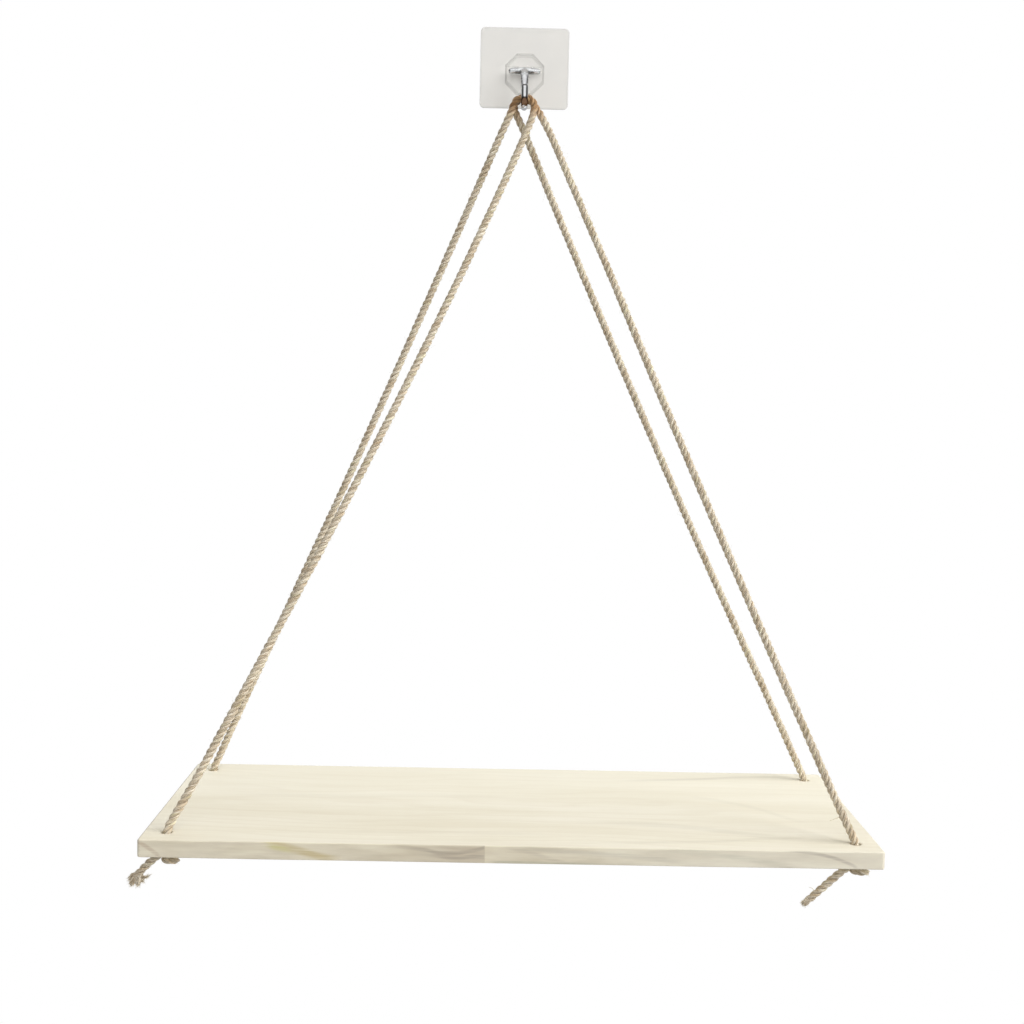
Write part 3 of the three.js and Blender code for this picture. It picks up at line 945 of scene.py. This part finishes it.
def streaked(g, colour, along, across, streaks, *limits):
    """The colour with each streak drawn over it, as far as the limits let it."""
    for streak in streaks:
        mask = g.times(line_mask(g, along, across, streak), *limits, streak.strength)
        colour = g.mix(mask, colour, streak.colour)
    return colour


def wood_grain(g, place):
    """Late wood of the growth rings, long fibres and fine pores, each from 0 to 1."""
    x, y, z = g.axes(place)
    wander = g.stretched(place, (0.006, 0.02, 0.02))
    shift = g.times(g.math("SUBTRACT", wander, 0.5), RING_WANDER)
    from_pith_y = g.math("ADD", g.math("SUBTRACT", y, PITH_Y), g.times(x, PITH_SLANT))
    from_pith_z = g.math("ADD", g.math("SUBTRACT", z, PITH_Z), shift)
    radius = g.distance(from_pith_y, from_pith_z)
    ring = g.math("FRACT", g.math("DIVIDE", g.math("ADD", radius, shift), RING_WIDTH))
    steps = ((0.0, 0.0), (0.55, 0.12), (0.88, 0.9), (1.0, 0.0))
    late = g.ramp(ring, *((at, (value, value, value)) for at, value in steps))
    fibre = g.stretched(place, (0.045, 1.6, 1.6), 4.0, 0.6)
    pores = g.stretched(place, (0.16, 5.0, 5.0), 2.0, 0.6)
    return late, fibre, pores


def wood_all_over(g, place, late, fibre, pores):
    """Pale sapwood with darker rings, end grain, fibres and pores, paler towards the wall."""
    x, y, _ = g.axes(place)
    colour = g.ramp(
        g.stretched(place, (0.008, 0.05, 0.08), 3.0),
        (0.30, (0.78, 0.726, 0.58)),
        (0.50, (0.823, 0.775, 0.638)),
        (0.70, (0.862, 0.818, 0.692)),
    )
    end = board_high.x / MM
    on_end = g.span(g.math("ABSOLUTE", x), end - 0.6, end - 0.2)
    late_share = g.times(late, g.math("ADD", g.times(on_end, 0.34), 0.16))
    colour = g.mix(late_share, colour, (0.62, 0.53, 0.38))
    colour = g.mix(g.times(on_end, 0.5), colour, (0.61, 0.555, 0.455))
    colour = g.mix(g.span(fibre, 0.35, 0.75, 0.0, 0.15), colour, (0.64, 0.56, 0.42))
    colour = g.mix(g.span(pores, 0.56, 0.72, 0.0, 0.20), colour, (0.60, 0.51, 0.37))
    return g.mix(g.span(y, -110.0, -5.0, 0.0, 0.45), colour, (0.95, 0.91, 0.765))


def wood_top(g, place, colour, ragged):
    """The top's streaks and the darker arris at its left end."""
    x, y, z = g.axes(place)
    low_x, high_z = board_low.x / MM, board_high.z / MM
    on_top = g.span(z, high_z - 0.9, high_z - 0.3)
    left_edge = g.times(g.fall(x, low_x + 0.4, low_x + 1.0, 0.55), on_top)
    colour = g.mix(left_edge, colour, (0.40, 0.375, 0.33))
    return streaked(g, colour, x, y, TOP_STREAKS, on_top, ragged)


def wood_front(g, place, colour, ragged):
    """The front's blotches, painted light towards its right end, its glued joint and its streaks."""
    x, _, z = g.axes(place)
    height = g.math("SUBTRACT", z, board_low.z / MM)
    tone = g.ramp(
        g.stretched(place, (0.035, 0.0, 0.22), 3.0),
        (0.35, (0.80, 0.765, 0.71)),
        (0.5, (0.90, 0.87, 0.82)),
        (0.65, (0.98, 0.965, 0.92)),
    )
    front = g.mix(1.0, colour, tone, "MULTIPLY")
    # Painted light: paler towards the right end, where more light falls
    front = g.mix(g.span(x, -20.0, 120.0, 0.0, 0.28), front, (0.93, 0.91, 0.835))
    front = g.mix(g.fall(x, -150.0, -120.0, 0.2), front, (0.92, 0.875, 0.765))
    brown = g.band(x, -70.0, -24.0, SEAM_X - 0.25, SEAM_X + 0.1)
    front = g.mix(g.times(brown, 0.36), front, (0.42, 0.345, 0.27))
    return streaked(g, front, x, height, FRONT_STREAKS, ragged)


def wood_material():
    """Bare sanded softwood, with the photo's streaks on its top and front."""
    g = new_material("pale_wood")
    place = g.place_mm()
    late, fibre, pores = wood_grain(g, place)
    ragged = g.span(fibre, 0.30, 0.62, 0.35, 1.0)
    colour = wood_all_over(g, place, late, fibre, pores)
    colour = wood_top(g, place, colour, ragged)
    on_front = g.fall(g.axes(place)[1], board_low.y / MM + 0.25, board_low.y / MM + 0.7)
    colour = g.mix(on_front, colour, wood_front(g, place, colour, ragged))
    relief = g.math("ADD", g.times(fibre, 0.6), g.times(pores, 0.4))
    relief = g.math("SUBTRACT", relief, g.times(late, 0.25))
    return g.surface(
        Base_Color=colour,
        Roughness=g.span(fibre, 0.3, 0.7, 0.52, 0.68),
        IOR=1.4,
        Specular_IOR_Level=0.35,
        Normal=g.bump(relief, 0.5, 0.08 * MM),
    )


# Plastic plate, housing and adhesive sheet

def softened(node, name, width, least_angle):
    """A copy of a CAD node's own shape with its sharp edges rounded."""
    bm = bmesh.new()
    bm.from_mesh(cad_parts[node].data)
    bmesh.ops.remove_doubles(bm, verts=bm.verts[:], dist=WELD_DISTANCE)
    bmesh.ops.dissolve_limit(bm, angle_limit=FLAT_ANGLE, verts=bm.verts[:], edges=bm.edges[:])
    round_off(bm, sharp_edges(bm, least_angle), width, clamp=True)
    return keep_faces_flat(object_from(bm, name))


def drawn_off_the_wall(obj, gap):
    """Draws the piece's wall side off its neighbour by a hair, so that no two faces coincide."""
    back = max(v.co.y for v in obj.data.vertices)
    for v in obj.data.vertices:
        if v.co.y > back - gap / 2:
            v.co.y -= gap
    return obj


def add_moulded(node, width, least_angle, material):
    piece = softened(node, f"{node}_moulded", width, least_angle)
    drawn_off_the_wall(piece, WALL_SIDE_GAP)
    return dress(piece, material, "wall_mount", "clear_plastic", node)


def plastic_skin(g, place, haze, relief, depth):
    """Hazy patches for the roughness, and a faint unevenness."""
    patches = g.span(g.noise(place, 1.4, 3.0), 0.3, 0.7, *haze)
    return {"Roughness": patches, "Normal": g.bump(g.noise(place, 0.5), relief, depth)}


def milky_plastic_material():
    """The thin plate: pale, slightly see-through, with a painted darker line at its rim that stands in
    for refraction at the edge.
    """
    g = new_material("plate_plastic")
    place = g.place_mm()
    x, _, z = g.axes(place)
    cloud = g.noise(place, 0.09)
    colour = g.mix(g.span(cloud, 0.35, 0.65), (0.965, 0.947, 0.908), (0.95, 0.934, 0.897))
    side = g.math("SUBTRACT", g.math("ABSOLUTE", x), plate_high.x / MM)
    top = g.math("SUBTRACT", g.math("ABSOLUTE", z), plate_high.z / MM)
    # Painted dark line along the rim, standing in for refraction at the plate's edge
    rim = g.span(g.math("MAXIMUM", side, top), -1.4, -0.1, 0.0, 0.6)
    return g.surface(
        Base_Color=g.mix(rim, colour, (0.76, 0.755, 0.735)),
        IOR=1.49,
        Alpha=0.62,
        **plastic_skin(g, place, (0.16, 0.26), 0.15, 0.05 * MM),
    )


def clear_plastic_material():
    """The housing: clear, with painted darker lines on its bevelled edges that stand in for refraction.
    """
    g = new_material("housing_plastic")
    place = g.place_mm()
    x, _, z = g.axes(place)
    cloud = g.noise(place, 0.12)
    colour = g.mix(g.span(cloud, 0.35, 0.65), (0.56, 0.556, 0.545), (0.53, 0.526, 0.515))
    middle_z = (housing_low.z + housing_high.z) / 2 / MM
    off_x = g.math("ABSOLUTE", x)
    off_z = g.math("ABSOLUTE", g.math("SUBTRACT", z, middle_z))
    slanted = g.times(g.math("ADD", off_x, off_z), math.sqrt(0.5))
    across = g.math("MAXIMUM", g.math("MAXIMUM", off_x, off_z), slanted)
    half = housing_high.x / MM
    # Painted dark lines on the bevelled edges, standing in for refraction; the edges are also less
    # see-through
    painted_edge_line = g.span(across, half - 1.35, half - 0.75)
    return g.surface(
        Base_Color=g.mix(g.times(painted_edge_line, 0.8), colour, (0.44, 0.436, 0.425)),
        IOR=1.40,
        Transmission_Weight=0.94,
        Alpha=g.math("ADD", g.times(painted_edge_line, 0.46), 0.15),
        **plastic_skin(g, place, (0.03, 0.07), 0.12, 0.04 * MM),
    )


def adhesive_material():
    """Soft clear sheet with a few small trapped bubbles."""
    g = new_material("adhesive")
    place = g.place_mm()
    bubbles = g.add("ShaderNodeTexVoronoi", {"Vector": place, "Scale": 0.45}).outputs["Distance"]
    few = g.span(g.noise(place, 0.16, 1.0), 0.45, 0.60)
    spots = g.times(g.fall(bubbles, 0.10, 0.22), few)
    smears = g.span(g.stretched(place, (0.25, 1.0, 0.06), 3.0), 0.4, 0.65)
    colour = g.mix(smears, (0.93, 0.925, 0.90), (0.86, 0.86, 0.84))
    return g.surface(
        Base_Color=g.mix(g.times(spots, 0.7), colour, (0.99, 0.99, 0.99)),
        Roughness=0.35,
        IOR=1.47,
        Alpha=0.5,
        Normal=g.bump(g.math("ADD", spots, g.times(smears, 0.4)), 0.6, 0.06 * MM),
    )


# Hook

def bent_wire(corners, bend_radius, step):
    """A line through the corners with each inner corner turned by an arc."""
    corners = [np.array(c, float) for c in corners]
    line = [corners[0]]
    for before, corner, after in zip(corners, corners[1:], corners[2:]):
        inward = (before - corner) / np.linalg.norm(before - corner)
        onward = (after - corner) / np.linalg.norm(after - corner)
        turn = math.pi - math.acos(float(inward @ onward))
        setback = bend_radius * math.tan(turn / 2)
        bisector = (inward + onward) / np.linalg.norm(inward + onward)
        centre = corner + bisector * bend_radius / math.cos(turn / 2)
        from_centre = (corner + inward * setback - centre) / bend_radius
        for angle in turn * np.linspace(0, 1, BEND_STEPS):
            spoke = from_centre * math.cos(angle) - inward * math.sin(angle)
            line.append(centre + bend_radius * spoke)
    line.append(corners[-1])
    return evenly(np.array(line), step)[0]


def domed(past):
    """Shares of a radius that close a bar's end with half a ball, as past goes from 0 to 1."""
    return np.sqrt(np.clip(1 - np.clip(past, 0, 1) ** 2, SMALLEST_SHARE, 1))


def crossbar():
    """The bar, which droops and thins a little to its ends."""
    half = BAR_LENGTH / 2
    x = np.linspace(-half, half, BAR_RINGS)
    away = np.abs(x)
    droop = BAR_DROOP * (away / half) ** 2
    line = np.stack([x, np.full_like(x, BAR_Y), BAR_Z - droop], axis=1)
    body = BAR_RADIUS - (BAR_RADIUS - BAR_END_RADIUS) * away / half
    past = (away - (half - BAR_END_RADIUS)) / BAR_END_RADIUS
    return tube(line, body * domed(past), HOOK_SIDES)


def squared(turn):
    """Shares of a section whose sides are flatter than a circle's."""
    return np.sign(turn) * np.abs(turn) ** 0.75


def neck_flare(line):
    """The wire's start, widened and flattened towards the bar."""
    share = np.linspace(0, 1, len(line))
    wide = WIRE_RADIUS + (FLARE_HALF_WIDTH - WIRE_RADIUS) * (1 - share)
    deep = WIRE_RADIUS * (0.78 + 0.2 * share)
    across = np.tile((1.0, 0.0, 0.0), (len(line), 1))
    normal = np.cross(tangents(line), across)
    angle = around(HOOK_SIDES)
    ring = (squared(np.cos(angle))[None, :, None] * (across * wide[:, None])[:, None]
            - squared(np.sin(angle))[None, :, None] * (normal * deep[:, None])[:, None])
    return (line[:, None] + ring).reshape(-1, 3), skin(len(line), HOOK_SIDES)


def make_hook():
    """Crossbar, flared neck and bent wire, melted into one and smoothed."""
    corners = [
        (0, BAR_Y, BAR_Z),
        (0, STEM_Y, BAR_Z - NECK_REACH),
        (0, STEM_Y, SEAT_Z),
        (0, TIP_Y, SEAT_Z),
        (0, TIP_Y, TIP_Z),
    ]
    line = bent_wire(corners, BEND_RADIUS, WIRE_STEP)
    left = distance_along(line)[-1] - distance_along(line)
    wire = tube(line, WIRE_RADIUS * domed(1 - left / WIRE_RADIUS), HOOK_SIDES)
    neck = neck_flare(line[: int(FLARE_LENGTH / WIRE_STEP)])
    hook = mesh_object("hook_polished", *joined([crossbar(), wire, neck]))
    bm = bmesh.new()
    bm.from_mesh(hook.data)
    bmesh.ops.recalc_face_normals(bm, faces=bm.faces[:])
    bm.to_mesh(hook.data)
    bm.free()
    melt = hook.modifiers.new("melt", "REMESH")
    melt.mode = "VOXEL"
    melt.voxel_size = HOOK_VOXEL
    melt.use_smooth_shade = True
    calm = hook.modifiers.new("calm", "SMOOTH")
    calm.factor = HOOK_CALMING
    calm.iterations = HOOK_CALMING_ROUNDS
    return bake_modifiers(hook)


def chrome_material():
    """Polished, with painted dark reflections beside the neck and round the tip, and a painted brown
    reflection of the ropes in the bend.
    """
    g = new_material("chrome")
    place = g.place_mm()
    x, y, z = g.axes(place)
    cloud = g.noise(place, 0.7, 3.0)
    colour = g.mix(g.span(cloud, 0.3, 0.7), (0.80, 0.81, 0.82), (0.74, 0.75, 0.765))
    # Painted dark reflections beside the neck, in a dark colour
    painted_dark_reflections = g.times(g.band(g.math("ABSOLUTE", x), *DARK_REFLECTION_X), g.band(z, *DARK_REFLECTION_Z), 0.85)
    colour = g.mix(painted_dark_reflections, colour, DARK_REFLECTION_COLOUR)
    seat, tip_y, tip_z = SEAT_Z / MM, TIP_Y / MM, TIP_Z / MM
    in_front = g.fall(y, tip_y + 2.6, tip_y + 4.0)
    # Painted reflection: the front of the bend is coloured brown as if it mirrored the ropes
    rope_reflection_in_bend = g.band(z, seat - 1.4, seat - 0.4, seat + 2.4, seat + 3.8)
    colour = g.mix(g.times(rope_reflection_in_bend, in_front, 0.97), colour, (0.15, 0.078, 0.038))
    # Painted dark reflection round the top of the tip
    dark_reflection_at_tip = g.times(g.span(z, tip_z - 1.4, tip_z - 0.8), in_front)
    colour = g.mix(g.times(dark_reflection_at_tip, 0.9), colour, DARK_REFLECTION_COLOUR)
    unpolished = g.times(g.band(z, tip_z - 0.6, tip_z + 0.4, -4.6, -4.0), 0.16)
    return g.surface(
        Base_Color=colour,
        Metallic=1.0,
        Roughness=g.math("ADD", g.span(cloud, 0.3, 0.7, 0.07, 0.14), unpolished),
        Normal=g.bump(g.noise(place, 2.2), 0.05, 0.02 * MM),
    )


# Stage

def add_camera():
    data = bpy.data.cameras.new("photo_camera")
    data.lens = CAMERA_LENS_MM
    data.sensor_width = CAMERA_SENSOR_MM
    data.clip_start = 0.01
    data.clip_end = 50
    camera = link(bpy.data.objects.new("photo_camera", data))
    camera.matrix_world = (
        Matrix.Translation(CAMERA_PLACE)
        @ Matrix.Rotation(-CAMERA_YAW, 4, "Z")
        @ Matrix.Rotation(math.pi / 2 - CAMERA_PITCH, 4, "X")
        @ Matrix.Rotation(CAMERA_ROLL, 4, "Z")
    )
    bpy.context.scene.camera = camera


def add_lamp(lamp):
    """A square lamp that gloss doesn't show."""
    data = bpy.data.lights.new(lamp.name, "AREA")
    data.shape = "SQUARE"
    data.size = lamp.size
    data.energy = lamp.power
    placed = link(bpy.data.objects.new(lamp.name, data))
    placed.location = lamp.place
    placed.rotation_euler = (LIGHT_AIM - Vector(lamp.place)).to_track_quat("-Z", "Y").to_euler()
    placed.visible_glossy = False


def seen_and_glossy(g):
    """1 for rays from the camera, gloss and clear plastic, which see white, and 1 for gloss."""
    path = g.add("ShaderNodeLightPath").outputs
    onward = g.math("MAXIMUM", path["Is Glossy Ray"], path["Is Transmission Ray"])
    return g.math("MAXIMUM", path["Is Camera Ray"], onward), path["Is Glossy Ray"]


def add_world():
    """Even light. Camera, gloss and plastic see white, and gloss sees a dim room to the sides."""
    g = Graph(bpy.data.worlds.new("studio"))
    seen, glossy = seen_and_glossy(g)
    direction = g.add("ShaderNodeTexCoord").outputs["Generated"]
    toward = g.axes(direction)
    bright = g.vector("DOT_PRODUCT", direction, BRIGHT_SIDE).outputs["Value"]
    beside = g.fall(bright, *BRIGHT_REACH)
    behind = g.span(toward[1], *BEHIND_REACH, 1.0, BEHIND_DIM)
    under_ceiling = g.span(toward[2], *CEILING_REACH, 1.0, CEILING_DIM)
    dim = g.times(beside, behind, under_ceiling, glossy, GLOSS_DIM)
    shown = g.times(seen, g.math("SUBTRACT", 1.0, dim))
    lit = g.times(g.math("SUBTRACT", 1.0, seen), WORLD_LIGHT)
    sky = g.add("ShaderNodeBackground", {"Color": WHITE, "Strength": g.math("ADD", shown, lit)})
    bpy.context.scene.world = g.end("ShaderNodeOutputWorld", sky)


def add_floor():
    """A pale round floor that fades into the white background."""
    bm = bmesh.new()
    bmesh.ops.create_circle(bm, cap_ends=True, segments=FLOOR_SIDES, radius=FLOOR_RADIUS)
    floor = object_from(bm, "floor")
    floor.location = FLOOR_PLACE
    g = new_material("floor")
    x, y, _ = g.axes(g.place())
    fade = g.span(g.distance(x, y), *FLOOR_FADE)
    seen, _ = seen_and_glossy(g)
    matt = g.add("ShaderNodeBsdfDiffuse", {"Color": FLOOR_COLOUR})
    lift = g.add("ShaderNodeEmission", {"Color": WHITE, "Strength": g.times(seen, FLOOR_LIFT)})
    near = g.add("ShaderNodeAddShader", {0: matt.outputs[0], 1: lift.outputs[0]})
    glow = g.math("MAXIMUM", seen, WORLD_LIGHT)
    white = g.add("ShaderNodeEmission", {"Color": WHITE, "Strength": glow})
    both = g.add("ShaderNodeMixShader", {0: fade, 1: near.outputs[0], 2: white.outputs[0]})
    give(floor, g.end("ShaderNodeOutputMaterial", both))


# The whole scene

add_camera()
jute = jute_material()
jute_fibre = fibre_material()
for rope_name, rope_plan in ROPES.items():
    add_rope(rope_name, rope_plan, jute, jute_fibre)

dress(make_board(), wood_material(), "shelf", "pale_wood", "board")
dress(make_hook(), chrome_material(), "hook", "chrome", "hook")
add_moulded("wall_plate", PLATE_EDGE, PLATE_SHARP_ANGLE, milky_plastic_material())
housing = add_moulded("hook_housing", HOUSING_EDGE, HOUSING_SHARP_ANGLE, clear_plastic_material())
# Clear plastic passes the light that its solid would block
housing.visible_shadow = False
give(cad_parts["adhesive_pad"], adhesive_material())

add_world()
add_floor()
for lamp in LAMPS:
    add_lamp(lamp)
bpy.context.scene.view_settings.view_transform = "Standard"
